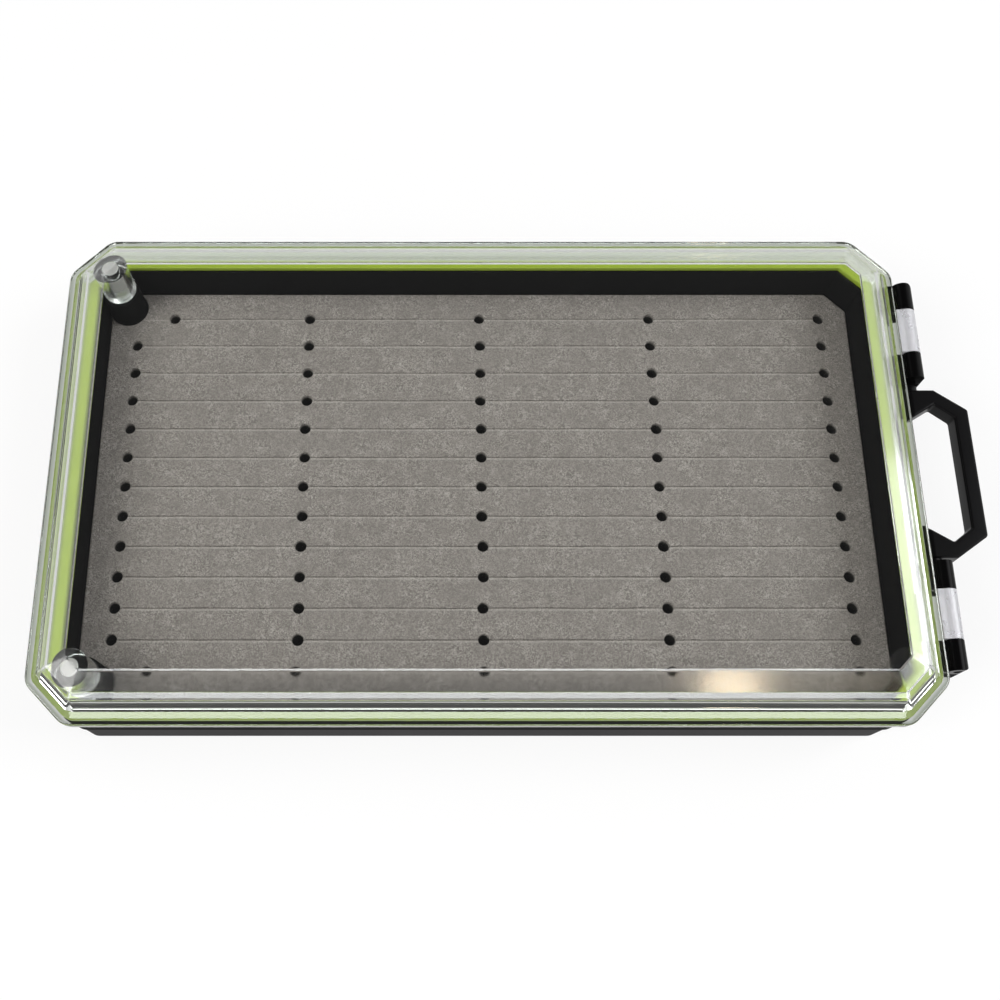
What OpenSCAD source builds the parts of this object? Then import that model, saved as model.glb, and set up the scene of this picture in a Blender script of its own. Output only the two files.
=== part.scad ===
// A large waterproof fly box, in millimetres. A black tray holds a slit foam
// pad, a clear lid closes on a flat green seal, two hinges and a folding carry
// handle are on the right (+X), and magnets in two corner posts on the left
// (-X) keep the lid shut. The origin is the middle of the underside, +Z is up
// and +Y is the far side.

/* [Box] */
// Width over the lid's rim, from the magnet side to the hinge side
box_w = 266; // [240:1:300]
// Depth over the lid's rim, from the near side to the far side
box_d = 158; // [146:1:190]
// Leg of each 45 degree corner of the rim
corner_cut = 12.2; // [10:0.1:14]
// Rounding of each corner of the outline, at the rim's outer face
corner_r = 6; // [4:0.5:8]
// Height of the tray up to the plane where the lid meets it
tray_h = 30; // [26:0.5:38]
// Rise of the lid above that plane
lid_h = 13; // [12:0.5:20]

/* [Tray] */
// How far in from the lid's rim the well starts
rim_w = 9.4; // [9.1:0.1:10.4]
// How far the lid's rim overhangs the tray
overhang = 1.6; // [1.2:0.1:1.9]
// Height of the band round the rim
band_h = 15; // [12:0.5:18]
// How far the side wall stands in from the band
skirt_step = 0.4; // [0.2:0.05:0.6]
// Thickness of the tray's walls
wall_t = 2.2; // [1.8:0.1:2.4]
// Thickness of the floor and of the deck under the seal
floor_t = 2.4; // [2:0.1:3]
// Thickness of the ribs in the hollow under the rim
rib_t = 1.6; // [1.2:0.1:2.4]
// Spacing of those ribs
rib_pitch = 38; // [24:1:50]

/* [Seal] */
// Thickness of the seal when the lid is shut
seal_t = 2; // [1.5:0.1:2.6]
// How far the seal's outer edge stands in from the tray's band
seal_edge = 0.6; // [0.5:0.1:1]
// Clearance between the seal and the blocks under the tray's knuckles
seal_clear = 0.2; // [0.1:0.05:0.3]
// How far the seal's inner edge stands back from the well
seal_back = 0.3; // [0.1:0.1:0.8]

/* [Foam] */
// Thickness of the foam pad
foam_t = 11.3; // [8:0.1:13]
// Thickness of the adhesive tape under it
tape_t = 0.3; // [0.2:0.05:0.6]
// Clearance between the foam and the tray
foam_clear = 0.2; // [0.1:0.05:0.5]
// Number of slits, from near to far
slit_rows = 13; // [9:2:15]
// Spacing of the slits
row_pitch = 10; // [8:0.5:10.5]
// Number of holes along each slit
hole_cols = 5; // [3:2:7]
// Spacing of the holes along a slit
col_pitch = 57; // [40:1:57]
// How much further in the end holes of the first and last slit are, to clear the posts
post_shift = 11.7; // [8:0.1:16]
// Diameter of the holes
hole_d = 3.5; // [2.5:0.1:5]
// Width of a slit
slit_w = 0.4; // [0.3:0.05:0.8]
// Depth of the slits and holes
slit_depth = 9; // [6:0.5:10]

/* [Lid] */
// Thickness of the flat window
window_t = 2.7; // [2.4:0.1:3]
// Thickness of the flange that lies on the seal
flange_t = 3; // [2.5:0.1:4]
// How far the flat window stands in from the rim
window_inset = 13.9; // [13:0.1:18]
// Height of the bevelled step round the window
window_step = 0.8; // [0.4:0.1:1.2]
// Width of that step
window_bevel = 1.1; // [0.6:0.1:1.5]
// How far the shoulder stands in from the rim
shoulder_inset = 7.7; // [7:0.1:8.5]
// How far the shoulder is below the window
shoulder_drop = 2.4; // [1.6:0.1:3]
// Bevel of the shoulder's edge
shoulder_bevel = 1; // [0.5:0.1:1.5]
// How far the foot of the lid's wall stands in from the rim
foot_inset = 3.1; // [2.6:0.1:3.6]
// Bevel of that foot
foot_bevel = 1.2; // [0.8:0.1:1.5]
// How far the inside of the wall stands in from the rim at the seal
wall_inset = 6.1; // [5.8:0.1:6.3]
// Thickness of the leaning wall where it is thinnest, measured level
lid_wall_t = 1.6; // [1.5:0.05:1.8]
// How far that is below the window's plane
cove_drop = 6.6; // [6.2:0.1:6.8]
// How far in from the rim the cove above it ends
cove_inset = 8.9; // [8.6:0.1:9.4]
// Thickness of the shoulder there
shoulder_t = 2.6; // [2.4:0.1:2.8]

/* [Corner posts] */
// How far the posts' axes stand in from the rim, both ways
post_inset = 15.2; // [15:0.1:17]
// Diameter of the lid's posts
lid_post_d = 10.6; // [9:0.1:10.8]
// Diameter of the tray's posts
tray_post_d = 12; // [10:0.1:13]
// How far the tray's posts stop below the plane of the seal
post_drop = 3.5; // [2.5:0.1:5]
// Gap between the two posts when shut
post_gap = 0.2; // [0.1:0.05:0.5]
// Clearance round the lid's posts in the tray
post_clear = 0.5; // [0.4:0.05:0.8]
// Diameter of the magnets
magnet_d = 5; // [4:0.5:7]
// Length of the magnets
magnet_l = 8; // [5:0.5:9]
// Clearance round a magnet or its plug
magnet_clear = 0.05; // [0.02:0.01:0.1]
// Clear plastic over a magnet, from the window's plane
lid_skin = 3; // [2.6:0.1:4]
// Black plastic over a magnet in the tray
tray_skin = 1.5; // [1:0.1:2.5]

/* [Hinges] */
// Diameter of the hinge barrels
knuckle_d = 6; // [5:0.1:7]
// Gap between the rim and the barrels
hinge_gap = 0.4; // [0.3:0.05:0.8]
// Height of the hinge axis above the plane of the seal
axis_rise = 0.5; // [0.2:0.1:1]
// How far the blocks under the tray's knuckles reach below that plane
block_drop = 8; // [7:0.5:12]
// Gap from those blocks up to the lid's rim
block_gap = 0.2; // [0.1:0.05:0.4]
// Middle of each lid knuckle, from the middle of the box
hinge_y = 46.3; // [40:0.1:48]
// Length of a lid knuckle
lid_knuckle_l = 15; // [12:0.5:16]
// Length of a tray knuckle next to the handle
inner_knuckle_l = 8.6; // [7:0.1:9]
// Length of a tray knuckle next to the corner
outer_knuckle_l = 9.2; // [7:0.1:9.5]
// Gap between neighbouring knuckles
knuckle_gap = 0.2; // [0.15:0.05:0.4]
// Diameter of the hinge pins
pin_d = 2.5; // [2:0.1:3]
// Radial clearance of a pin in the lid's knuckle
pin_clear = 0.05; // [0.02:0.01:0.1]
// How deep the pins' ends are sunk
pin_sunk = 0.8; // [0.5:0.1:1.5]

/* [Handle] */
// Thickness of the handle
handle_t = 6.2; // [5:0.1:6.4]
// Reach of the handle from its pivot
handle_reach = 16.6; // [14:0.1:20]
// Width of the bar that the fingers hold
bar_w = 4.6; // [4:0.1:6]
// Length of that bar
bar_l = 41.8; // [30:0.1:46]
// How far the shoulders of the handle stand out from its pivot
elbow_x = 6.7; // [6:0.1:9]
// Width of an arm at its elbow
arm_w = 5.1; // [4:0.1:6]
// Width of a foot where it turns on its pivot
handle_foot_w = 10.8; // [8:0.1:12]
// Gap between a foot and the tray's knuckle
foot_gap = 2.2; // [1:0.1:4]
// Depth of the pivot below the plane of the seal
pivot_drop = 5; // [4.6:0.1:5.5]
// Diameter of the pivot studs
stud_d = 3; // [2.4:0.1:3.4]
// How far a stud goes into the tray's knuckle
stud_l = 3.2; // [2.5:0.1:4]
// Radial clearance of a stud
stud_clear = 0.05; // [0.02:0.01:0.1]

/* [Hidden] */
$fn = 64;
FAR = 1;
NEAR = -1;
SIDES = [FAR, NEAR];
over = 1;                                       // how far a cutter runs past a face
cut_shrink = 2 - sqrt(2);                       // a 45 degree leg shrinks so much per inset
least_r = 0.8;                                  // rounding of an outline's inner corners
skin_under = 0.5;                               // how far the lid's posts end under its skin
stud_to_pin = 2;                                // plastic between a stud's end and a pin
collar_t = 1;                                   // how far a stud's collar stands out from it
grip_ease = 0.3;                                // eases the handle's inner corners
elbow_ease = 0.5;

half_w = box_w / 2;
half_d = box_d / 2;
deck_z = tray_h - seal_t;                       // what the seal lies on
seal_inset = overhang + seal_edge;              // outer edge of the seal
foam_z = floor_t + tape_t;                      // underside of the foam
foam_top = foam_z + foam_t;
post_x = -(half_w - post_inset);
post_y = half_d - post_inset;
post_z = tray_h - post_drop;                    // top of the tray's posts
lid_post_z = post_z + post_gap;                 // lower end of the lid's posts
lid_bore_z = tray_h + lid_h - lid_skin;         // closed end of the bore in a lid post
tray_bore_z = post_z - tray_skin;               // closed end of the bore in a tray post
bore_d = magnet_d + 2 * magnet_clear;
knuckle_r = knuckle_d / 2;
axis_x = half_w + hinge_gap + knuckle_r;
axis_z = tray_h + axis_rise;
lid_knuckle_y0 = hinge_y - lid_knuckle_l / 2;
lid_knuckle_y1 = hinge_y + lid_knuckle_l / 2;
inner_y1 = lid_knuckle_y0 - knuckle_gap;        // tray knuckle next to the handle
inner_y0 = inner_y1 - inner_knuckle_l;
outer_y0 = lid_knuckle_y1 + knuckle_gap;        // tray knuckle next to the corner
outer_y1 = outer_y0 + outer_knuckle_l;
pin_y0 = inner_y0 + stud_l + stud_to_pin;       // closed end of the pin's bore
pin_y1 = outer_y1 - pin_sunk;
pivot_z = tray_h - pivot_drop;
heel_r = handle_t / 2;
handle_y = inner_y0 - foot_gap;                 // outer side of the handle's feet

// The outline of the box drawn in by an inset: a rectangle with four 45 degree
// corners, its eight corners rounded by true arcs.
module outline(inset = 0) {
    w = half_w - inset;
    d = half_d - inset;
    cut = corner_cut - inset * cut_shrink;
    r = max(corner_r - inset, least_r);
    run = r * tan(22.5);                        // from a corner to where its arc ends
    for_quarter = [[1, 1], [-1, 1], [-1, -1], [1, -1]];
    a = [w, d - cut];                           // corner between side and 45 degree face
    b = [w - cut, d];                           // corner between 45 degree face and end
    diag = run / sqrt(2);
    quarter = [a - [0, run], a + [-diag, diag], b + [diag, -diag], b - [run, 0]];
    turned = function(q, p) [q.x * p.x, q.y * p.y];
    points = [for (q = for_quarter)
                  let (order = q.x * q.y > 0 ? [0, 1, 2, 3] : [3, 2, 1, 0])
                  for (i = order) turned(q, quarter[i])];
    polygon(points);
    for (q = for_quarter) {
        translate(turned(q, [w - r, d - cut - run])) circle(r);
        translate(turned(q, [w - cut - run, d - r])) circle(r);
    }
}

// A layer of the box's outline, from height z up
module layer(inset, z, h) {
    translate([0, 0, z]) linear_extrude(h) outline(inset);
}

// A cylinder along Y, from y0 to y1 on one side of the box
module rod(d, x, z, y0, y1, side) {
    translate([x, side * y0, z]) rotate([side * -90, 0, 0]) cylinder(d = d, h = y1 - y0);
}

// A block from y0 to y1 on one side of the box
module side_block(x0, x1, y0, y1, z0, z1, side) {
    translate([x0, side > 0 ? y0 : -y1, z0]) cube([x1 - x0, y1 - y0, z1 - z0]);
}

// A cylinder on the axis of a corner post
module at_post(side, d, z0, z1) {
    translate([post_x, side * post_y, z0]) cylinder(d = d, h = z1 - z0);
}

// The hollow under the rim, open below, with the ribs that cross it
module rim_hollow() {
    outer_in = overhang + skirt_step + wall_t;
    inner_in = rim_w - wall_t;
    ribs_x = floor((half_w - rim_w) / rib_pitch);
    ribs_y = floor((half_d - rim_w) / rib_pitch + 0.5);
    difference() {
        layer(outer_in, -over, deck_z - floor_t + over);
        layer(inner_in, -2 * over, deck_z + over);
        for (i = [-ribs_x : ribs_x])
            translate([i * rib_pitch - rib_t / 2, -half_d, -2 * over])
                cube([rib_t, box_d, deck_z + over]);
        for (i = [-ribs_y : ribs_y - 1])
            translate([-half_w, (i + 0.5) * rib_pitch - rib_t / 2, -2 * over])
                cube([box_w, rib_t, deck_z + over]);
        for (side = SIDES)
            at_post(side, lid_post_d + 2 * post_clear + 2 * wall_t, -2 * over, deck_z);
    }
}

// One of the tray's knuckles: a barrel on a block that stands out from the band
module tray_knuckle(y0, y1, side) {
    rod(knuckle_d, axis_x, axis_z, y0, y1, side);
    side_block(axis_x - knuckle_r, axis_x + knuckle_r, y0, y1, tray_h - block_drop, axis_z, side);
    side_block(half_w - seal_inset + seal_clear, axis_x, y0, y1,
               tray_h - block_drop, tray_h - block_gap, side);
}

// The black tray: pan, double wall, deck, corner posts and hinge knuckles in one moulding
module tray() {
    color([0.06, 0.06, 0.07]) difference() {
        union() {
            difference() {
                union() {
                    layer(overhang + skirt_step, 0, tray_h - band_h / 2);
                    layer(overhang, tray_h - band_h, deck_z - tray_h + band_h);
                }
                layer(rim_w, floor_t, tray_h);
                rim_hollow();
            }
            for (side = SIDES) {
                at_post(side, tray_post_d, 0, post_z);
                tray_knuckle(inner_y0, inner_y1, side);
                tray_knuckle(outer_y0, outer_y1, side);
            }
        }
        for (side = SIDES) {
            at_post(side, lid_post_d + 2 * post_clear, post_z, tray_h + over);
            at_post(side, bore_d, -over, tray_bore_z);
            rod(pin_d, axis_x, axis_z, pin_y0, outer_y1 + over, side);
            rod(stud_d + 2 * stud_clear, axis_x, pivot_z, inner_y0 - over,
                inner_y0 + stud_l + stud_clear, side);
        }
    }
}

// The flat green seal on the deck round the well
module gasket() {
    color([0.55, 0.68, 0.12]) difference() {
        layer(seal_inset, deck_z, seal_t);
        layer(rim_w - seal_back, deck_z - over, seal_t + 2 * over);
        for (side = SIDES)
            at_post(side, lid_post_d + 2 * post_clear, deck_z - over, tray_h + over);
    }
}

// The flat shape of the foam: the well less its clearance and less the posts
module foam_outline(extra = 0) {
    difference() {
        outline(rim_w + foam_clear + extra);
        for (side = SIDES)
            translate([post_x, side * post_y]) circle(d = tray_post_d + 2 * foam_clear + 2 * extra);
    }
}

// The slit foam pad, with rows of slits that run between round holes
module foam_pad() {
    last_row = (slit_rows - 1) / 2;
    last_col = (hole_cols - 1) / 2;
    cut_z = foam_top - slit_depth;
    color([0.50, 0.47, 0.44]) difference() {
        translate([0, 0, foam_z]) linear_extrude(foam_t) foam_outline();
        for (row = [-last_row : last_row]) {
            end_shift = abs(row) == last_row ? post_shift : 0;
            x0 = -last_col * col_pitch + end_shift;
            translate([x0, row * row_pitch - slit_w / 2, cut_z])
                cube([last_col * col_pitch - x0, slit_w, slit_depth + over]);
            for (col = [-last_col : last_col])
                translate([col == -last_col ? x0 : col * col_pitch, row * row_pitch, cut_z])
                    cylinder(d = hole_d, h = slit_depth + over);
        }
    }
}

// The adhesive tape that holds the foam to the floor
module foam_tape() {
    color([0.85, 0.83, 0.75]) translate([0, 0, floor_t]) linear_extrude(tape_t) foam_outline(over);
}

// Both sides of a profile whose points are [inset from the rim, height]
function both_sides(half, points) =
    concat([for (p = points) [half - p.x, p.y]],
           [for (i = [len(points) - 1 : -1 : 0]) [points[i].x - half, points[i].y]]);

// A body on the plane of the seal whose sides, ends and 45 degree corners all
// follow one profile
module profiled(points) {
    diag = (half_w + half_d - corner_cut) / sqrt(2);
    reach = box_w + box_d;
    translate([0, 0, tray_h]) intersection() {
        rotate([90, 0, 0]) linear_extrude(reach, center = true)
            polygon(both_sides(half_w, points));
        rotate([90, 0, 90]) linear_extrude(reach, center = true)
            polygon(both_sides(half_d, points));
        rotate([90, 0, 45]) linear_extrude(reach, center = true)
            polygon(both_sides(diag, points));
        rotate([90, 0, -45]) linear_extrude(reach, center = true)
            polygon(both_sides(diag, points));
    }
}

// The lid's outside: flange, leaning wall, sloping shoulder and raised flat window
module lid_outside() {
    shoulder_z = lid_h - shoulder_drop;
    intersection() {
        profiled([[0, 0],
                  [0, flange_t],
                  [foot_inset, flange_t],
                  [foot_inset + foot_bevel, flange_t + foot_bevel],
                  [shoulder_inset - shoulder_bevel, shoulder_z - shoulder_bevel],
                  [shoulder_inset, shoulder_z],
                  [window_inset - window_bevel, lid_h - window_step],
                  [window_inset, lid_h]]);
        layer(0, tray_h, lid_h);
    }
}

// The hollow inside the lid: a wall that is nearly upright, a cove, the shoulder's
// sloping underside and the window's flat one
module lid_inside() {
    foot_z = flange_t + foot_bevel;
    shoulder_z = lid_h - shoulder_drop;
    lean = (shoulder_inset - shoulder_bevel - foot_inset - foot_bevel)
           / (shoulder_z - shoulder_bevel - foot_z);
    slope = (shoulder_drop - window_step) / (window_inset - window_bevel - shoulder_inset);
    cove_z = lid_h - cove_drop;
    profiled([[wall_inset, -over],
              [wall_inset, 0],
              [foot_inset + foot_bevel + (cove_z - foot_z) * lean + lid_wall_t, cove_z],
              [cove_inset, shoulder_z + (cove_inset - shoulder_inset) * slope - shoulder_t],
              [window_inset, lid_h - window_t]]);
}

// A post of the lid, which ends inside the lid's top
module lid_post(side) {
    intersection() {
        at_post(side, lid_post_d, lid_post_z, tray_h + lid_h);
        union() {
            layer(0, lid_post_z - over, tray_h - lid_post_z + 2 * over);
            translate([0, 0, -skin_under]) lid_outside();
        }
    }
}

// The clear lid, with its two hinge knuckles and its two magnet posts
module lid() {
    color([0.85, 0.90, 0.88, 0.35]) difference() {
        union() {
            difference() {
                lid_outside();
                lid_inside();
            }
            for (side = SIDES) {
                lid_post(side);
                rod(knuckle_d, axis_x, axis_z, lid_knuckle_y0, lid_knuckle_y1, side);
                side_block(half_w - over, axis_x, lid_knuckle_y0, lid_knuckle_y1,
                           axis_z, tray_h + flange_t, side);
            }
        }
        for (side = SIDES) {
            at_post(side, bore_d, lid_post_z - over, lid_bore_z);
            rod(pin_d + 2 * pin_clear, axis_x, axis_z, lid_knuckle_y0 - over,
                lid_knuckle_y1 + over, side);
        }
    }
}

// A magnet in a post of the lid, and the clear plug that closes its bore
module lid_magnet(side) {
    color([0.75, 0.75, 0.74]) at_post(side, magnet_d, lid_bore_z - magnet_l, lid_bore_z);
}
module lid_plug(side) {
    color([0.85, 0.90, 0.88, 0.35])
        at_post(side, magnet_d, lid_post_z, lid_bore_z - magnet_l);
}

// A magnet in a post of the tray, and the black plug that closes its bore from below
module tray_magnet(side) {
    color([0.75, 0.75, 0.74]) at_post(side, magnet_d, tray_bore_z - magnet_l, tray_bore_z);
}
module tray_plug(side) {
    color([0.08, 0.08, 0.09]) at_post(side, magnet_d, 0, tray_bore_z - magnet_l);
}

// A hinge pin: pressed into the tray's knuckles, free in the lid's knuckle
module hinge_pin(side) {
    color([0.70, 0.70, 0.70]) rod(pin_d, axis_x, axis_z, pin_y0, pin_y1, side);
}

// The folding handle, flat out as it stands when the box is carried. Its heels
// are round about the pivot, and a stud on each foot turns in the tray's knuckle.
module handle() {
    tip = handle_reach;
    half_bar = bar_l / 2;
    grip_in = tip - bar_w;
    heel = -heel_r;
    half_grip = half_bar - bar_w / 2 - grip_ease;
    elbow_in = handle_y - arm_w;
    half_root = handle_y - handle_foot_w;
    outer = [[heel, handle_y], [elbow_x, handle_y], [tip, half_bar]];
    inner = [[grip_in, half_grip], [elbow_x - elbow_ease, elbow_in], [heel, half_root],
             [heel - over, half_root]];
    flip = function(list) [for (i = [len(list) - 1 : -1 : 0]) [list[i].x, -list[i].y]];
    color([0.07, 0.07, 0.08]) translate([axis_x, 0, pivot_z]) {
        intersection() {
            translate([0, 0, -heel_r]) linear_extrude(handle_t) difference() {
                polygon(concat(outer, flip(outer)));
                polygon(concat(inner, flip(inner)));
            }
            rotate([90, 0, 0]) linear_extrude(2 * handle_y, center = true) {
                circle(r = heel_r);
                translate([0, -heel_r]) square([tip, handle_t]);
            }
        }
        for (side = SIDES) {
            rod(stud_d, 0, 0, handle_y - over, inner_y0 + stud_l, side);
            rod(stud_d + 2 * collar_t, 0, 0, handle_y - over, inner_y0 - knuckle_gap, side);
        }
    }
}

tray();
foam_pad();
foam_tape();
gasket();
lid();
lid_magnet(FAR);  // lid_magnet_far
lid_magnet(NEAR);  // lid_magnet_near
lid_plug(FAR);  // lid_plug_far
lid_plug(NEAR);  // lid_plug_near
tray_magnet(FAR);  // tray_magnet_far
tray_magnet(NEAR);  // tray_magnet_near
tray_plug(FAR);  // tray_plug_far
tray_plug(NEAR);  // tray_plug_near
hinge_pin(FAR);  // hinge_pin_far
hinge_pin(NEAR);  // hinge_pin_near
handle();
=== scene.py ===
"""A large waterproof fly box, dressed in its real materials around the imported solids."""

import math
import random

import bmesh
import bpy
from mathutils import Matrix, Vector


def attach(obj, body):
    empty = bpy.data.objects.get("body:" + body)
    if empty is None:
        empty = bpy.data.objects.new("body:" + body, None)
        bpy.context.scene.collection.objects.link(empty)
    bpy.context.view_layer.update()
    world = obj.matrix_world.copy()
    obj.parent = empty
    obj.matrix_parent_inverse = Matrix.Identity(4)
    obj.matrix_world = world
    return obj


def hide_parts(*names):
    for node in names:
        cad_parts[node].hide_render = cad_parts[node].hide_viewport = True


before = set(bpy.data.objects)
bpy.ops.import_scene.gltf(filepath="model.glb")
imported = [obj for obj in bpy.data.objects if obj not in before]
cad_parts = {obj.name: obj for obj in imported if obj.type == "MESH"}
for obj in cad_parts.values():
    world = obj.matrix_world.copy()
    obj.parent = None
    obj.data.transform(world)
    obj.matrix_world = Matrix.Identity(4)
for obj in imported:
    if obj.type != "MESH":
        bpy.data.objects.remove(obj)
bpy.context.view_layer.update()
scene = bpy.context.scene

# Camera. A phone held over the near edge of a table, looking down on the box at 20 degrees
# off the vertical, 0.36 m above the foam.
CAMERA_PLACE = (-0.016, -0.134, 0.375)
CAMERA_TILT = math.radians(19.76)
SENSOR_WIDTH, FOCAL_LENGTH, SHIFT_RIGHT = 36, 43.3, 0.0685
camera = bpy.data.objects.new("camera", bpy.data.cameras.new("camera"))
camera.location = CAMERA_PLACE
camera.rotation_euler = (CAMERA_TILT, 0, 0)
camera.data.sensor_width = SENSOR_WIDTH
camera.data.lens = FOCAL_LENGTH
camera.data.shift_x = SHIFT_RIGHT
camera.data.clip_start = 0.01
scene.collection.objects.link(camera)
scene.camera = camera


# Table and room. A plain white sheet, lit by two broad soft lamps, a long low window behind
# the camera and a small warm lamp, in a white room whose ceiling is dark, so that the lid's
# flat window stays clear. Seen through clear plastic, the sheet glows greyer: partly the light
# that the plastic takes, partly painted shade.
class Shade:
    """A value or colour in a finish. Python's sums on it add Math nodes."""

    def __init__(self, finish, socket):
        self.finish, self.socket = finish, socket

    def math(self, operation, *others):
        return self.finish.node("ShaderNodeMath", {"operation": operation}, [self, *others])

    def __add__(self, other):
        return self.math("ADD", other)

    def __sub__(self, other):
        return self.math("SUBTRACT", other)

    def __rsub__(self, other):
        return self.finish.node("ShaderNodeMath", {"operation": "SUBTRACT"}, [other, self])

    def __mul__(self, other):
        return self.math("MULTIPLY", other)

    def __truediv__(self, other):
        return self.math("DIVIDE", other)

    def __abs__(self):
        return self.math("ABSOLUTE")

    __radd__ = __add__
    __rmul__ = __mul__

    def ridge(self, middle, steepness):
        """1 at middle, and 0 on both sides of it."""
        return 1.0 - (abs(self - middle) * steepness).math("MINIMUM", 1.0)

    def between(self, low, high):
        """0 up to low, 1 from high on, and smooth between them."""
        return self.finish.node(
            "ShaderNodeMapRange",
            {"interpolation_type": "SMOOTHSTEP"},
            {"Value": self, "From Min": low, "From Max": high},
        )


class Finish:
    """The nodes of one material, or of the room."""

    def __init__(self, owner):
        owner.use_nodes = True
        self.owner, self.tree = owner, owner.node_tree

    def node(self, kind, settings=None, values=(), out=0):
        made = self.tree.nodes.new(kind)
        for key, value in (settings or {}).items():
            setattr(made, key, value)
        pairs = values.items() if isinstance(values, dict) else enumerate(values)
        for key, value in pairs:
            self.feed(made.inputs[key], value)
        return Shade(self, made.outputs[out])

    def feed(self, socket, value):
        if isinstance(value, Shade):
            self.tree.links.new(value.socket, socket)
        else:
            socket.default_value = value

    def mix(self, amount, first, second):
        """The colour first where amount is 0, and second where it is 1."""
        values = {0: amount, 6: first, 7: second}
        return self.node("ShaderNodeMix", {"data_type": "RGBA"}, values, out=2)

    def ray(self, kind):
        """1 for rays of a kind, and 0 for the others."""
        return self.node("ShaderNodeLightPath", out=f"Is {kind} Ray")

    def axis(self, place, name):
        return self.node("ShaderNodeSeparateXYZ", values=[place], out=name)

    def place(self):
        """Where a point of the piece is, in millimetres."""
        at = self.node("ShaderNodeTexCoord", out="Object")
        return self.node("ShaderNodeVectorMath", {"operation": "SCALE"}, {0: at, "Scale": 1000})

    def noise(self, place, scale, detail=2.0, distortion=0.0):
        return self.node(
            "ShaderNodeTexNoise",
            values={"Vector": place, "Scale": scale, "Detail": detail, "Distortion": distortion},
        )

    def bump(self, height, strength, distance):
        return self.node(
            "ShaderNodeBump",
            values={"Height": height, "Strength": strength, "Distance": distance},
        )

    def surface(self, values):
        shader = self.tree.nodes["Principled BSDF"]
        for key, value in values.items():
            self.feed(shader.inputs[key], value)


def grey(level):
    return (level, level, level, 1.0)


CEILING_FROM, CEILING_FULL = 0.55, 0.80
room = Finish(bpy.data.worlds.new("room"))
scene.world = room.owner
ways = room.node("ShaderNodeTexCoord", out="Generated")
ceiling = room.axis(ways, "Z").between(CEILING_FROM, CEILING_FULL)
mirrored = room.mix(ceiling, grey(1.6), grey(0.06))
clearly = room.mix(ceiling, grey(0.9), grey(0.10))
soft_or_mirrored = room.mix(room.ray("Glossy"), grey(0.45), mirrored)
seen = room.mix(room.ray("Transmission"), soft_or_mirrored, clearly)
background = room.tree.nodes["Background"]
room.feed(background.inputs["Color"], room.mix(room.ray("Camera"), seen, grey(1.0)))

FLOOR_HALF, FLOOR_Z = 3, -0.0002
SHEET_GLOW = 0.82
floor_mesh = bpy.data.meshes.new("floor")
floor_corners = [(-FLOOR_HALF, -FLOOR_HALF, 0), (FLOOR_HALF, -FLOOR_HALF, 0),
                 (FLOOR_HALF, FLOOR_HALF, 0), (-FLOOR_HALF, FLOOR_HALF, 0)]
floor_mesh.from_pydata(floor_corners, [], [(0, 1, 2, 3)])
floor = bpy.data.objects.new("floor", floor_mesh)
floor.location.z = FLOOR_Z
scene.collection.objects.link(floor)
sheet = Finish(bpy.data.materials.new("white_sheet"))
sheet.surface({"Base Color": grey(0.92), "Roughness": 0.9, "Specular IOR Level": 0.1})
through = sheet.ray("Transmission")
# Painted shade: the sheet glows greyer for rays that came through clear plastic.
white = sheet.mix(through, grey(1.0), grey(0.55))
glow = sheet.node("ShaderNodeEmission", values={"Color": white, "Strength": 1.0})
direct = (sheet.ray("Camera") + sheet.ray("Glossy") + through).math("MINIMUM", 1.0)
shaded = Shade(sheet, sheet.tree.nodes["Principled BSDF"].outputs[0])
blend = sheet.node("ShaderNodeMixShader", values=[direct * SHEET_GLOW, shaded, glow])
sheet.tree.links.new(blend.socket, sheet.tree.nodes["Material Output"].inputs["Surface"])
floor_mesh.materials.append(sheet.owner)

# All lamps face the box. The low window shows in reflections only.
for name, spot, wide, high, power, tint in (
    ("window_light", (-1.05, -0.55, 1.15), 0.9, 0.9, 16.5, (1.0, 0.99, 0.97)),
    ("fill_light", (1.15, 0.10, 1.0), 0.8, 0.8, 12.0, (0.97, 0.98, 1.0)),
    ("low_window", (0.0, -2.4, 0.52), 2.3, 0.62, 30.0, (0.94, 0.98, 1.0)),
    ("warm_lamp", (0.34, -0.53, 1.04), 0.06, 0.05, 0.26, (1.0, 0.82, 0.58)),
):
    lamp = bpy.data.objects.new(name, bpy.data.lights.new(name, "AREA"))
    lamp.data.shape, lamp.data.size, lamp.data.size_y = "RECTANGLE", wide, high
    lamp.data.energy, lamp.data.color = power, tint
    lamp.location = spot
    lamp.rotation_euler = Vector(spot).to_track_quat("Z", "Y").to_euler()
    lamp.visible_diffuse = name != "low_window"
    scene.collection.objects.link(lamp)


# Tray. One black moulding: a pan with a double wall and a flat deck round the well, two corner
# posts that hold magnets, and four knuckles for the hinge pins on the right. The lid's rim
# stands out over it all round.
MM = 0.001
SIDES = (("far", 1), ("near", -1))
HALF_WIDTH, HALF_DEPTH = 133.0, 79.0
CORNER_LEG, CORNER_ROUND, LEAST_ROUND, CORNER_STEPS = 12.2, 6.0, 0.9, 6
RIM, OVERHANG = 9.4, 1.6
DECK, BAND_FOOT = 28.0, 15.0
SKIRT, WALL = 2.0, 2.2
FLOOR_TOP, HOLLOW_TOP = 2.4, 25.6
POST = (-117.8, 63.8)
BOSS_R, BOSS_DROP = 7.8, 0.5
TRAY_POST_R, TRAY_POST_TOP, TRAY_POST_ROUND = 6.0, 26.5, 0.6
POCKET_R, POCKET_UP = 5.8, 9
BORE_R, TRAY_BORE_TOP = 2.55, 25.0
AXIS = (136.4, 30.5)
KNUCKLE_R, PIN_R = 3.0, 1.25
INNER_KNUCKLE, LID_KNUCKLE, OUTER_KNUCKLE = (30.0, 38.6), (38.8, 53.8), (54.0, 63.2)


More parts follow.
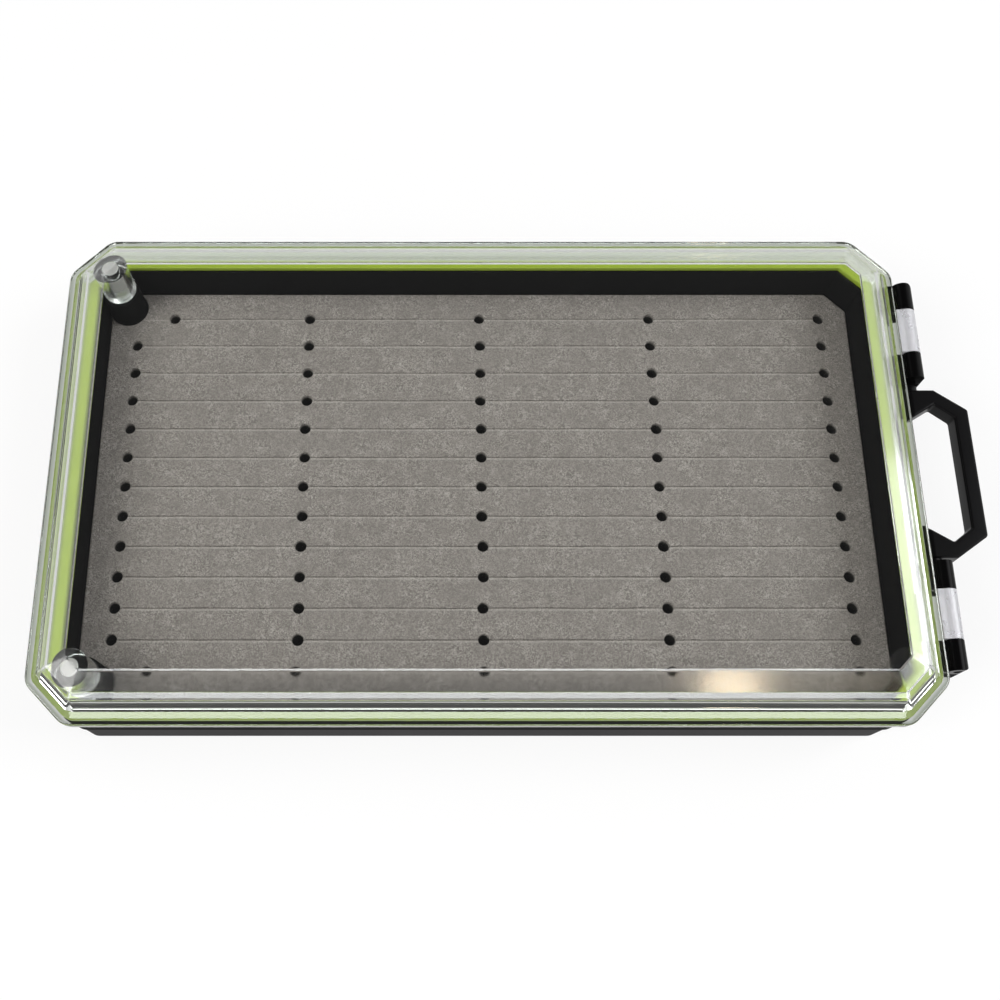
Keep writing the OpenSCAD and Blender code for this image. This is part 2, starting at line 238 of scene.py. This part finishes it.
def outline(inset, height):
    """A ring round the box: a rectangle with cut and rounded corners, drawn in by inset."""
    w, d = HALF_WIDTH - inset, HALF_DEPTH - inset
    cut = CORNER_LEG - inset * (2 - math.sqrt(2))
    radius = max(CORNER_ROUND - inset, LEAST_ROUND)
    run = radius * math.tan(math.pi / 8)
    quarter = []
    for half, (x, y) in enumerate(((w - radius, d - cut - run), (w - cut - run, d - radius))):
        for step in range(CORNER_STEPS + 1):
            angle = math.radians(45 * (half + step / CORNER_STEPS))
            quarter.append((x + radius * math.cos(angle), y + radius * math.sin(angle)))
    ring = []
    for sx, sy in ((1, 1), (-1, 1), (-1, -1), (1, -1)):
        for x, y in quarter if sx * sy > 0 else quarter[::-1]:
            ring.append(Vector((x * sx, y * sy, height)) * MM)
    return ring


def rounded(corners, steps=4):
    """A profile through (across, up, radius) corners, each turned into an arc."""
    points = []
    for i, (x, z, radius) in enumerate(corners):
        here = Vector((x, z))
        if not radius:
            points.append(here)
            continue
        before = (Vector(corners[i - 1][:2]) - here).normalized()
        after = (Vector(corners[(i + 1) % len(corners)][:2]) - here).normalized()
        half = before.angle(after) / 2
        centre = here + (before + after).normalized() * (radius / math.sin(half))
        first = here + before * (radius / math.tan(half)) - centre
        last = here + after * (radius / math.tan(half)) - centre
        sweep = math.atan2(first.x * last.y - first.y * last.x, first.dot(last))
        for step in range(steps + 1):
            turn = Matrix.Rotation(sweep * step / steps, 2)
            points.append(centre + turn @ first)
    return points


def place_piece(name, mesh):
    piece = bpy.data.objects.new(name, mesh)
    scene.collection.objects.link(piece)
    return piece


def shell(name, rings, closed=False):
    """A solid skin over rings of equally many points, capped at both ends unless closed."""
    count, side = len(rings), len(rings[0])
    faces = []
    for k in range(count if closed else count - 1):
        for i in range(side):
            j, m = (i + 1) % side, (k + 1) % count
            faces.append((k * side + i, k * side + j, m * side + j, m * side + i))
    if not closed:
        faces.append(tuple(range(side))[::-1])
        faces.append(tuple(range((count - 1) * side, count * side)))
    mesh = bpy.data.meshes.new(name)
    mesh.from_pydata([p for ring in rings for p in ring], [], faces)
    tidy = bmesh.new()
    tidy.from_mesh(mesh)
    bmesh.ops.recalc_face_normals(tidy, faces=tidy.faces)
    tidy.to_mesh(mesh)
    tidy.free()
    return place_piece(name, mesh)


def turned(name, base, along, profile, sides=56):
    """A round solid on a line from base: its profile is (distance, radius) points in mm."""
    along = Vector(along).normalized()
    out = along.orthogonal().normalized()
    up = along.cross(out)
    angles = [2 * math.pi * i / sides for i in range(sides)]
    rings = []
    for distance, radius in profile:
        centre = Vector(base) + along * distance
        rings.append(
            [(centre + (out * math.cos(a) + up * math.sin(a)) * radius) * MM for a in angles]
        )
    return shell(name, rings)


def standing(name, x, y, z, profile, sides=56):
    """A round solid that stands upright on z."""
    return turned(name, (x, y, z), (0, 0, 1), profile, sides)


def arc(centre, radius, first, last, steps):
    """Points on an arc from one angle to another, both of them in it."""
    angles = [first + (last - first) * k / steps for k in range(steps + 1)]
    return [(centre[0] + radius * math.cos(a), centre[1] + radius * math.sin(a)) for a in angles]


def barred(name, points, start, end, lift):
    """A bar: a flat shape drawn out from start to end. lift turns a point of the shape and a
    distance into a place in mm."""
    mesh = bmesh.new()
    low = [mesh.verts.new(Vector(lift(p, start)) * MM) for p in points]
    high = [mesh.verts.new(Vector(lift(p, end)) * MM) for p in points]
    mesh.faces.new(low)
    mesh.faces.new(high)
    for i in range(len(points)):
        j = (i + 1) % len(points)
        mesh.faces.new((low[i], low[j], high[j], high[i]))
    bmesh.ops.recalc_face_normals(mesh, faces=mesh.faces)
    made = bpy.data.meshes.new(name)
    mesh.to_mesh(made)
    mesh.free()
    return place_piece(name, made)


def settle(piece):
    """Turns the piece's modifiers into mesh."""
    bpy.context.view_layer.update()
    shown = piece.evaluated_get(bpy.context.evaluated_depsgraph_get())
    made = bpy.data.meshes.new_from_object(shown)
    piece.modifiers.clear()
    piece.data = made


def join(piece, *others, how="UNION"):
    """Adds solids to a piece, or cuts them out of it, and drops them."""
    for other in others:
        change = piece.modifiers.new(how, "BOOLEAN")
        change.operation, change.object, change.solver = how, other, "EXACT"
        settle(piece)
        bpy.data.objects.remove(other)


def soften(piece, width):
    """Rounds the edges that are sharper than 35 degrees."""
    edges = piece.modifiers.new("soft_edges", "BEVEL")
    edges.width, edges.segments = width * MM, 3
    edges.limit_method, edges.angle_limit = "ANGLE", math.radians(35)
    settle(piece)


def polish(piece, angle=40):
    """Smooth shading that keeps flat faces flat and edges sharper than angle crisp."""
    piece.data.polygons.foreach_set("use_smooth", [True] * len(piece.data.polygons))
    piece.data.set_sharp_from_angle(angle=math.radians(angle))
    keep = piece.modifiers.new("flat_faces", "WEIGHTED_NORMAL")
    keep.keep_sharp, keep.weight = True, 100
    settle(piece)
    return piece


def coat(piece, finish):
    piece.data.materials.clear()
    piece.data.materials.append(finish.owner)


def dress(piece, finish, slot, body, *nodes):
    """Gives a piece its finish, its body and the solids that it stands for."""
    coat(piece, finish)
    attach(piece, body)
    if nodes:
        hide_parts(*nodes)


tray_profile = rounded(
    [
        (RIM, FLOOR_TOP, 0),
        (RIM, DECK, 0.35),
        (OVERHANG, DECK, 0.5),
        (OVERHANG, BAND_FOOT, 0.2),
        (SKIRT, BAND_FOOT, 0.15),
        (SKIRT, 0, 0.9),
        (SKIRT + WALL, 0, 0.4),
        (SKIRT + WALL, HOLLOW_TOP, 0.6),
        (RIM - WALL, HOLLOW_TOP, 0.6),
        (RIM - WALL, 0, 0),
    ]
)
tray = shell("tray_moulding", [outline(x, z) for x, z in tray_profile])
post_edge = [
    (TRAY_POST_TOP - TRAY_POST_ROUND * (1 - math.sin(a)),
     TRAY_POST_R - TRAY_POST_ROUND * (1 - math.cos(a)))
    for a in (0, 0.5, 1.0, math.pi / 2)
]
for _, side in SIDES:
    x, y = POST[0], side * POST[1]
    boss = standing("boss", x, y, 0, [(0, BOSS_R), (DECK - BOSS_DROP, BOSS_R)])
    post = standing("post", x, y, 0, [(0, TRAY_POST_R), *post_edge])
    pocket = standing("pocket", x, y, TRAY_POST_TOP, [(0, POCKET_R), (POCKET_UP, POCKET_R)])
    bore = standing("bore", x, y, -1, [(0, BORE_R), (TRAY_BORE_TOP + 1, BORE_R)])
    pan = shell("pan", [outline(RIM - 1, -1), outline(RIM - 1, 40)])
    join(boss, pan, how="DIFFERENCE")
    join(tray, boss, post)
    join(tray, pocket, bore, how="DIFFERENCE")
polish(tray)


def across_hinge(point, y):
    return (point[0], y, point[1])


def upright(point, z):
    return (*point, z)


BLOCK_X, BLOCK_FOOT, BLOCK_TOP = 131.2, 22.0, 29.8
FOOT_CUT, SMALL_ROUND, EDGE_SOFT = 1.2, 0.35, 0.3
HOLE_FIT, HOLE_DEEP = 0.03, 3
KNUCKLE_OUT = AXIS[0] + KNUCKLE_R
knuckle_shape = [
    *arc(AXIS, KNUCKLE_R, 0, math.pi, 20),
    (AXIS[0] - KNUCKLE_R, BLOCK_TOP),
    (BLOCK_X, BLOCK_TOP),
    (BLOCK_X, BLOCK_FOOT),
    (KNUCKLE_OUT - FOOT_CUT, BLOCK_FOOT),
    (KNUCKLE_OUT - SMALL_ROUND, BLOCK_FOOT + SMALL_ROUND),
    (KNUCKLE_OUT, BLOCK_FOOT + FOOT_CUT),
]
knuckles = []
# Of each knuckle: where it lies, how round its outer corner is, and where the pin's hole in it
# starts and which way that runs.
for end, side in SIDES:
    for name, (y0, y1), corner, hole_from, hole_way in (
        ("inner", INNER_KNUCKLE, SMALL_ROUND, INNER_KNUCKLE[1] + 0.5, -1),
        ("outer", OUTER_KNUCKLE, 2.2, OUTER_KNUCKLE[1] - 1.2, 1),
    ):
        knuckle = barred(
            f"tray_knuckle_{name}_{end}", knuckle_shape, side * y0, side * y1, across_hinge
        )
        plan = [
            (HALF_WIDTH - 5, side * y0, 0), (KNUCKLE_OUT, side * y0, SMALL_ROUND),
            (KNUCKLE_OUT, side * y1, corner), (HALF_WIDTH - 5, side * y1, 0),
        ]
        join(knuckle, barred("ends", rounded(plan, 8), 0, 40, upright), how="INTERSECT")
        soften(knuckle, EDGE_SOFT)
        hole = turned(
            "hole", (AXIS[0], side * hole_from, AXIS[1]), (0, side * hole_way, 0),
            [(0, PIN_R + HOLE_FIT), (HOLE_DEEP, PIN_R + HOLE_FIT)],
        )
        join(knuckle, hole, how="DIFFERENCE")
        knuckles.append(polish(knuckle))

black = Finish(bpy.data.materials.new("black_moulding"))
place = black.place()
# Shiny on its deck, matt on the band and satin under it, with faint flow marks and scuffs.
flow = black.noise(place, 0.035, 3)
grain = black.noise(place, 6.0, 2)
scuff = black.noise(place, 1.3, 4, 1.5).between(0.60, 0.72)
up = black.axis(place, "Z")
deck_up = up.between(DECK - 0.6, DECK - 0.2)
under_band = 1.0 - up.between(BAND_FOOT - 0.3, BAND_FOOT)
matt = 0.55 - deck_up * 0.55 - under_band * 0.25
black.surface(
    {
        "Base Color": black.mix(flow, (0.0014, 0.0014, 0.0016, 1), (0.0030, 0.0028, 0.0029, 1)),
        "Roughness": 0.18 + flow * 0.10 + scuff * 0.08 + matt,
        "Specular IOR Level": 0.05,
        "Normal": black.bump(grain, 0.06, 0.00002),
    }
)
dress(tray, black, "tray_plastic", "base", "tray")
for knuckle in knuckles:
    dress(knuckle, black, "tray_plastic", "base")

# Ribs under the rim. Thin black walls in the tray's moulding that tie its double wall together
# and stiffen it. They show only from below.
RIB_PITCH, RIB_T, RIB_FOOT = 38.0, 1.6, 0.3
crossings = [(k * RIB_PITCH, side, "x") for k in range(-3, 4) for _, side in SIDES]
crossings += [((k + 0.5) * RIB_PITCH, side, "y") for k in range(-2, 2) for _, side in SIDES]
for number, (at, side, way) in enumerate(crossings):
    edge = HALF_DEPTH if way == "x" else HALF_WIDTH
    near, far = side * (edge - RIM + WALL / 2), side * (edge - SKIRT - WALL / 2)
    low, high = at - RIB_T / 2, at + RIB_T / 2
    if way == "x":
        shape = [(low, near), (high, near), (high, far), (low, far)]
    else:
        shape = [(near, low), (far, low), (far, high), (near, high)]
    rib = barred(f"rib_{number:02d}", shape, RIB_FOOT, HOLLOW_TOP + 0.5, upright)
    dress(rib, black, "tray_plastic", "base")

# Magnets and plugs of the tray. Nickel-plated rods in the posts, each closed in by a black
# plug from below. They don't show from above.
nickel = Finish(bpy.data.materials.new("nickel_plate"))
place = nickel.place()
cloud = nickel.noise(place, 0.8, 3)
nickel.surface(
    {
        "Base Color": nickel.mix(cloud, (0.40, 0.40, 0.39, 1), (0.54, 0.54, 0.52, 1)),
        "Metallic": 0.45,
        "Roughness": 0.32 + cloud * 0.14,
        "Normal": nickel.bump(nickel.noise(place, 9.0, 2), 0.05, 0.00003),
    }
)
for end, _ in SIDES:
    coat(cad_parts[f"tray_magnet_{end}"], nickel)
    coat(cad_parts[f"tray_plug_{end}"], black)

# Tape. Pale double-sided foam tape, stuck to the pan's floor, that holds the pad down. It is
# seen only at its edge.
paper = Finish(bpy.data.materials.new("pale_tape"))
place = paper.place()
fibre = paper.noise(place, 2.5, 4)
paper.surface(
    {
        "Base Color": paper.mix(fibre, (0.62, 0.59, 0.50, 1), (0.78, 0.75, 0.66, 1)),
        "Roughness": 0.8,
        "Normal": paper.bump(fibre, 0.2, 0.00005),
    }
)
coat(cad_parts["foam_tape"], paper)

# Foam pad. Warm grey closed-cell foam, die cut: thirteen slits that each run between five
# punched holes, with soft lips, and a round notch for each post.
FOAM_LOW, FOAM_TOP = 2.7, 14.0
FOAM_INSET, FOAM_ROUND, NOTCH_R = 9.6, 0.7, 6.2
ROW_PITCH, COLUMN_PITCH = 10.0, 57.0
LAST_ROW, LAST_COLUMN = 6, 2
END_SHIFT = 11.7
HOLE_R, HOLE_DEPTH = 1.75, 9.0
SLIT_STEPS, SLIT_OPEN, SLIT_WAVE = 60, 0.24, 0.04
# One lip of a slit: (across, times how far it is open, and up from the foam's top).
LIPS = ((2.0, 0.05), (1.0, -0.08), (0.3, -0.2), (0.12, -0.6))
wobble = random.Random(7)

foam_profile = rounded(
    [(FOAM_INSET, FOAM_LOW, 0), (FOAM_INSET, FOAM_TOP, FOAM_ROUND), (FOAM_INSET + 2, FOAM_TOP, 0)]
)
foam = shell("foam_block", [outline(x, z) for x, z in foam_profile])
for _, side in SIDES:
    notch = standing(
        "notch", POST[0], side * POST[1], 0,
        [(0, NOTCH_R), (FOAM_TOP - 0.5, NOTCH_R), (FOAM_TOP - 0.15, NOTCH_R + 0.15),
         (FOAM_TOP + 0.1, NOTCH_R + 0.6)],
    )
    join(foam, notch, how="DIFFERENCE")
section = [(-dy, dz) for dy, dz in LIPS] + list(LIPS[::-1])
slits, holes = [], []
for row in range(-LAST_ROW, LAST_ROW + 1):
    columns = [column * COLUMN_PITCH for column in range(-LAST_COLUMN, LAST_COLUMN + 1)]
    if abs(row) == LAST_ROW:
        columns[0] += END_SHIFT
    for x in columns:
        across = HOLE_R * wobble.uniform(0.97, 1.03)
        holes.append(
            standing(
                "hole", x + wobble.uniform(-0.15, 0.15), row * ROW_PITCH, 0,
                [(FOAM_TOP - HOLE_DEPTH, across), (FOAM_TOP - 0.5, across),
                 (FOAM_TOP - 0.15, across + 0.1), (FOAM_TOP + 0.05, across + 0.3)], 28,
            )
        )
    shift = [wobble.uniform(-0.08, 0.08) for _ in range(SLIT_STEPS + 1)]
    rings = []
    for step in range(SLIT_STEPS + 1):
        x = columns[0] + (columns[-1] - columns[0]) * step / SLIT_STEPS
        y = row * ROW_PITCH + shift[step]
        open_by = SLIT_OPEN + SLIT_WAVE * math.sin(step * 1.9 + row)
        rings.append([Vector((x, y + dy * open_by, FOAM_TOP + dz)) * MM for dy, dz in section])
    slits.append(shell("slit", rings))
for cutters in (slits, holes):
    first, *rest = cutters
    whole = bmesh.new()
    for cutter in cutters:
        whole.from_mesh(cutter.data)
    whole.to_mesh(first.data)
    whole.free()
    for cutter in rest:
        bpy.data.objects.remove(cutter)
    join(foam, first, how="DIFFERENCE")
polish(foam, 50)

# Pale hairs and dark creases over a mottled ground, a painted highlight along one lip of each
# slit, and painted shade deep in the slits and holes.
PALE_HAIR_AND_LIP_HIGHLIGHT = (0.66, 0.62, 0.57, 1)
felt = Finish(bpy.data.materials.new("grey_foam"))
place = felt.place()
hair = felt.noise(place, 0.85, 1.0, 1.6).ridge(0.5, 11)
crease = felt.noise(place, 0.7, 1.0, 1.6).ridge(0.48, 11)
patches = felt.noise(place, 0.16, 2.0).between(0.35, 0.65)
specks = felt.noise(place, 2.4, 2.0)
clouds = felt.noise(place, 0.03, 3.0)
# Painted shade: the foam's colour goes nearly black deep in the slits and holes.
shadow = 1.0 - felt.axis(place, "Z").between(FOAM_TOP - 2.4, FOAM_TOP - 0.6)
# Painted highlight: a lighter band in the foam's colour along the lit lip just below each slit.
rows_up = felt.axis(place, "Y") + (LAST_ROW + 0.5) * ROW_PITCH
from_slit = rows_up.math("MODULO", ROW_PITCH) - 0.5 * ROW_PITCH
slit_ends = abs(felt.axis(place, "X")).between(111.5, 113.0)
lip_highlight = from_slit.ridge(-0.62, 2.4) * (1.0 - slit_ends)
ground = felt.mix(clouds, (0.232, 0.211, 0.194, 1), (0.272, 0.249, 0.231, 1))
mottled = felt.mix((specks - 0.3) * 0.5, ground, (0.14, 0.125, 0.113, 1))
creased = felt.mix(crease * (0.35 + patches * 0.25), mottled, (0.10, 0.09, 0.082, 1))
threads = felt.mix(hair * (0.25 + patches * 0.25), creased, PALE_HAIR_AND_LIP_HIGHLIGHT)
with_lip_highlight = felt.mix(lip_highlight * 0.32, threads, PALE_HAIR_AND_LIP_HIGHLIGHT)
felt.surface(
    {
        "Base Color": felt.mix(shadow * 0.93, with_lip_highlight, (0.006, 0.006, 0.005, 1)),
        "Roughness": 0.95,
        "Specular IOR Level": 0.15,
        "Normal": felt.bump(hair - crease + specks * 0.6, 0.5, 0.0003),
    }
)
dress(foam, felt, "foam", "base", "foam_pad")

# Seal. A flat ring of lime green silicone that is stuck to the deck round the well, cut round
# the two posts. Its colour is painted darker where the lid's foot lies over it: painted shade.
SEAL_OUT, SEAL_IN, SEAL_LOW, SEAL_TOP = 1.9, 8.9, DECK + 0.02, 29.96
seal_profile = rounded(
    [
        (SEAL_OUT, SEAL_LOW, 0.3),
        (SEAL_OUT, SEAL_TOP, 0.35),
        (SEAL_IN, SEAL_TOP, 0.5),
        (SEAL_IN, SEAL_LOW, 0.3),
    ]
)
seal = shell("green_seal", [outline(x, z) for x, z in seal_profile], closed=True)
for _, side in SIDES:
    notch = standing("notch", POST[0], side * POST[1], 25, [(0, POCKET_R), (8, POCKET_R)])
    join(seal, notch, how="DIFFERENCE")
polish(seal)


def from_rim(finish, place):
    """How far a point is from the rim of the box, in millimetres, as in outline()."""
    across, along = abs(finish.axis(place, "X")), abs(finish.axis(place, "Y"))
    corner = (HALF_WIDTH + HALF_DEPTH - CORNER_LEG - across - along) / math.sqrt(2)
    return (HALF_WIDTH - across).math("MINIMUM", HALF_DEPTH - along).math("MINIMUM", corner)


lime = Finish(bpy.data.materials.new("lime_silicone"))
place = lime.place()
bloom = lime.noise(place, 0.09, 3)
# Painted shade: the seal's colour is darker where the lid's foot lies over it.
painted_shade_under_foot = 1.0 - from_rim(lime, place).between(5.6, 7.0)
unshaded_lime = lime.mix(bloom, (0.245, 0.345, 0.012, 1), (0.30, 0.41, 0.02, 1))
lime.surface(
    {
        "Base Color": lime.mix(painted_shade_under_foot, unshaded_lime, (0.185, 0.250, 0.035, 1)),
        "Roughness": 0.34 + bloom * 0.12,
        "Specular IOR Level": 0.4,
        "Normal": lime.bump(lime.noise(place, 4.0, 2), 0.05, 0.00003),
    }
)
dress(seal, lime, "seal", "base", "gasket")

# Hinge pins. Two pieces of bright drawn steel wire, pressed into the black knuckles. The clear
# knuckles between them turn on it.
PIN_LOW, PIN_HIGH, PIN_TIP_R, PIN_TIP = 35.2, 62.4, 0.9, 0.3
steel = Finish(bpy.data.materials.new("bright_steel"))
place = steel.place()
stretch = steel.node("ShaderNodeVectorMath", {"operation": "MULTIPLY"}, {0: place, 1: (6, 0.4, 6)})
drawn = steel.noise(stretch, 1.5, 2)
steel.surface(
    {
        "Base Color": (0.58, 0.57, 0.55, 1),
        "Metallic": 1.0,
        "Roughness": 0.2 + drawn * 0.12,
        "Normal": steel.bump(drawn, 0.08, 0.00002),
    }
)
pin_length = PIN_HIGH - PIN_LOW
for end, side in SIDES:
    pin = turned(
        f"steel_pin_{end}", (AXIS[0], side * PIN_LOW, AXIS[1]), (0, side, 0),
        [(0, PIN_TIP_R), (PIN_TIP, PIN_R), (pin_length - PIN_TIP, PIN_R),
         (pin_length, PIN_TIP_R)], 40,
    )
    dress(polish(pin), steel, "pin_steel", "base", f"hinge_pin_{end}")

# Lid. One clear moulding: a flange that lies on the seal, a leaning wall, a sloping shoulder
# and a raised flat window, polished inside and out, with two round posts inside. Its section
# is given as (in from the rim, up from the seal, radius).
PLANE = 30.0
LID_POST_R, LID_POST_LOW, LID_POST_HIGH = 5.3, 26.7, 41.6
LID_BORE_TOP = 40.0
POLYCARBONATE_IOR = 1.585
outside = [
    (14.25, 13.0, 0.1),
    (13.75, 12.55, 0.1),
    (8.0, 10.7, 0.15),
    (6.6, 9.4, 0.15),
    (3.6, 4.6, 0.15),
    (2.0, 3.0, 0.15),
    (0, 3.0, 0.6),
    (0, 0, 0.3),
]
inside = [
    (5.85, 0, 0.2),
    (6.95, 7.0, 0.5),
    (8.65, 8.5, 0.5),
    (13.9, 10.45, 0.3),
    (17.0, 10.45, 0),
]
# What a post may fill, just inside that section.
INSIDE_BY = 0.02
core_section = ((0, -6), (0, 3), (3.6, 4.6), (6.6, 9.4), (8.0, 10.7), (13.75, 12.5))
path = rounded([(16.0, 13.0, 0), *outside, *inside])
lid = shell("clear_lid", [outline(x, PLANE + z) for x, z in path])
for _, side in SIDES:
    x, y = POST[0], side * POST[1]
    core = shell(
        "core", [outline(inset + INSIDE_BY, PLANE + z - INSIDE_BY) for inset, z in core_section]
    )
    post = standing(
        "post", x, y, 0,
        [(LID_POST_LOW, LID_POST_R - 0.35), (LID_POST_LOW + 0.12, LID_POST_R - 0.1),
         (LID_POST_LOW + 0.4, LID_POST_R), (LID_POST_HIGH, LID_POST_R)], 72,
    )
    bore = standing(
        "bore", x, y, LID_POST_LOW - 1,
        [(0, BORE_R), (LID_BORE_TOP - LID_POST_LOW + 1, BORE_R)], 72,
    )
    join(post, core, how="INTERSECT")
    join(lid, post)
    join(lid, bore, how="DIFFERENCE")
polish(lid, 30)

# The shoulder is not quite polished and the posts are a little rough. The rim's outer edge is
# painted darker olive: painted shade, for the shaded seal that shows through it.
clear = Finish(bpy.data.materials.new("clear_polycarbonate"))
place = clear.place()
inset = from_rim(clear, place)
shoulder = inset.between(6.4, 7.4) - inset.between(13.75, 13.9)
# Painted shade: the rim's outer edge is coloured darker olive.
edge = 1.0 - inset.between(0.9, 1.7)
across, along = abs(clear.axis(place, "X")), abs(clear.axis(place, "Y"))
from_post = clear.node(
    "ShaderNodeCombineXYZ", values=[across + POST[0], along - POST[1], 0.0]
)
off_post = clear.node("ShaderNodeVectorMath", {"operation": "LENGTH"}, [from_post], out="Value")
in_post = 1.0 - off_post.between(5.2, 5.45)
ripple = clear.noise(place, 0.12, 2)
spark = clear.noise(place, 5.0, 2)
clear.surface(
    {
        "Base Color": clear.mix(edge, (0.965, 0.985, 0.972, 1), (0.66, 0.71, 0.62, 1)),
        "Roughness": 0.012 + shoulder * (0.07 + ripple * 0.05) + in_post * 0.10,
        "IOR": POLYCARBONATE_IOR,
        "Transmission Weight": 1.0,
        "Normal": clear.bump(spark, 0.03, 0.00002),
    }
)
dress(lid, clear, "clear_plastic", "lid", "lid")
# Light falls through it unbent, so that the foam under it is as bright as in the open.
lid.visible_shadow = False
lid.visible_diffuse = False

# Clear hinge knuckles. The part of the lid's moulding that turns on the pins: a barrel and a
# short web, left with the mould's frosted skin, so that they look milky.
BARREL_SIDES, BORE_FIT = 48, 0.05
barrel_shape = arc(AXIS, KNUCKLE_R, 0, 2 * math.pi, BARREL_SIDES)[:-1]
web = [
    (HALF_WIDTH + 0.02, AXIS[1] + 0.3), (AXIS[0], AXIS[1] + 0.3),
    (AXIS[0] + 0.2, PLANE + 3), (HALF_WIDTH + 0.02, PLANE + 2.9),
]
frosted = Finish(bpy.data.materials.new("frosted_polycarbonate"))
place = frosted.place()
milk = frosted.noise(place, 0.35, 3)
frosted.surface(
    {
        "Base Color": frosted.mix(milk, (0.80, 0.80, 0.85, 1), (0.92, 0.92, 0.94, 1)),
        "Roughness": 0.22 + milk * 0.14,
        "IOR": POLYCARBONATE_IOR,
        "Transmission Weight": 0.55,
        "Normal": frosted.bump(milk, 0.10, 0.00003),
    }
)
low, high = LID_KNUCKLE
for end, side in SIDES:
    knuckle = barred(
        f"clear_knuckle_{end}", barrel_shape, side * low, side * high, across_hinge
    )
    join(knuckle, barred("web", web, side * low, side * high, across_hinge))
    soften(knuckle, EDGE_SOFT)
    bore = turned(
        "bore", (AXIS[0], side * (low - 1), AXIS[1]), (0, side, 0),
        [(0, PIN_R + BORE_FIT), (high - low + 2, PIN_R + BORE_FIT)], 40,
    )
    join(knuckle, bore, how="DIFFERENCE")
    dress(polish(knuckle), frosted, "clear_plastic", "lid")

# Magnets and plugs of the lid. Nickel-plated rods, slid up into the bores of the clear posts,
# each closed in by a clear plug from below.
MAGNET_R, MAGNET_LOW, MAGNET_HIGH = 2.5, 32.0, 39.98
PLUG_LENGTH = 5.25
magnet_length = MAGNET_HIGH - MAGNET_LOW
magnet_rod = [(0, MAGNET_R - 0.2), (0.2, MAGNET_R), (magnet_length - 0.2, MAGNET_R),
              (magnet_length, MAGNET_R - 0.2)]
plug_rod = [(0, MAGNET_R - 0.15), (0.15, MAGNET_R), (5.0, MAGNET_R),
            (PLUG_LENGTH, MAGNET_R - 0.15)]
for end, side in SIDES:
    x, y = POST[0], side * POST[1]
    magnet = standing(f"magnet_rod_{end}", x, y, MAGNET_LOW, magnet_rod)
    dress(polish(magnet), nickel, "magnet", "lid", f"lid_magnet_{end}")
    plug = standing(f"clear_plug_{end}", x, y, LID_POST_LOW, plug_rod)
    dress(polish(plug), clear, "clear_plastic", "lid", f"lid_plug_{end}")
    plug.visible_shadow = False
    plug.visible_diffuse = False

# Handle. A black moulded bail that turns on two studs in the inner knuckles and stands out
# level, with softened edges.
PIVOT = (AXIS[0], 25.0)
HANDLE_R, HANDLE_SOFT = 3.1, 0.7
handle_outer = [(-HANDLE_R, 27.8), (6.7, 27.8), (16.6, 20.9)]
handle_inner = [(12.0, 18.3), (6.2, 22.7), (-HANDLE_R, 17.0)]
bail_shape = [
    *handle_outer, *[(x, -y) for x, y in handle_outer[::-1]],
    *[(x, -y) for x, y in handle_inner[::-1]], *handle_inner,
]
bail = barred(
    "carry_handle", bail_shape, -HANDLE_R, HANDLE_R,
    lambda p, z: (PIVOT[0] + p[0], p[1], PIVOT[1] + z),
)
heel = arc((0, 0), HANDLE_R, math.pi / 2, math.pi / 2 + math.pi, 24)
heel += [(20, -HANDLE_R), (20, HANDLE_R)]
slab = barred(
    "slab", heel, -30, 30, lambda p, y: (PIVOT[0] + p[0], y, PIVOT[1] + p[1])
)
join(bail, slab, how="INTERSECT")
soften(bail, HANDLE_SOFT)
# A stud: its shoulder, its neck in the knuckle's hole, and its bevelled tip.
STUD_FROM = 26.8
stud_profile = [(0, 2.5), (2.9, 2.5), (3.0, 2.4), (3.0, 1.5), (6.1, 1.5), (6.4, 1.2)]
for _, side in SIDES:
    base = (PIVOT[0], side * STUD_FROM, PIVOT[1])
    join(bail, turned("stud", base, (0, side, 0), stud_profile, 40))
polish(bail)
satin = Finish(bpy.data.materials.new("satin_black"))
place = satin.place()
flow = satin.noise(place, 0.05, 3)
grain = satin.noise(place, 5.0, 3)
satin.surface(
    {
        "Base Color": satin.mix(flow, (0.0016, 0.0016, 0.0019, 1), (0.0034, 0.0032, 0.0034, 1)),
        "Roughness": 0.26 + flow * 0.14,
        "Specular IOR Level": 0.08,
        "Normal": satin.bump(grain, 0.10, 0.00004),
    }
)
dress(bail, satin, "handle_plastic", "handle", "handle")

scene.view_settings.view_transform = "Standard"
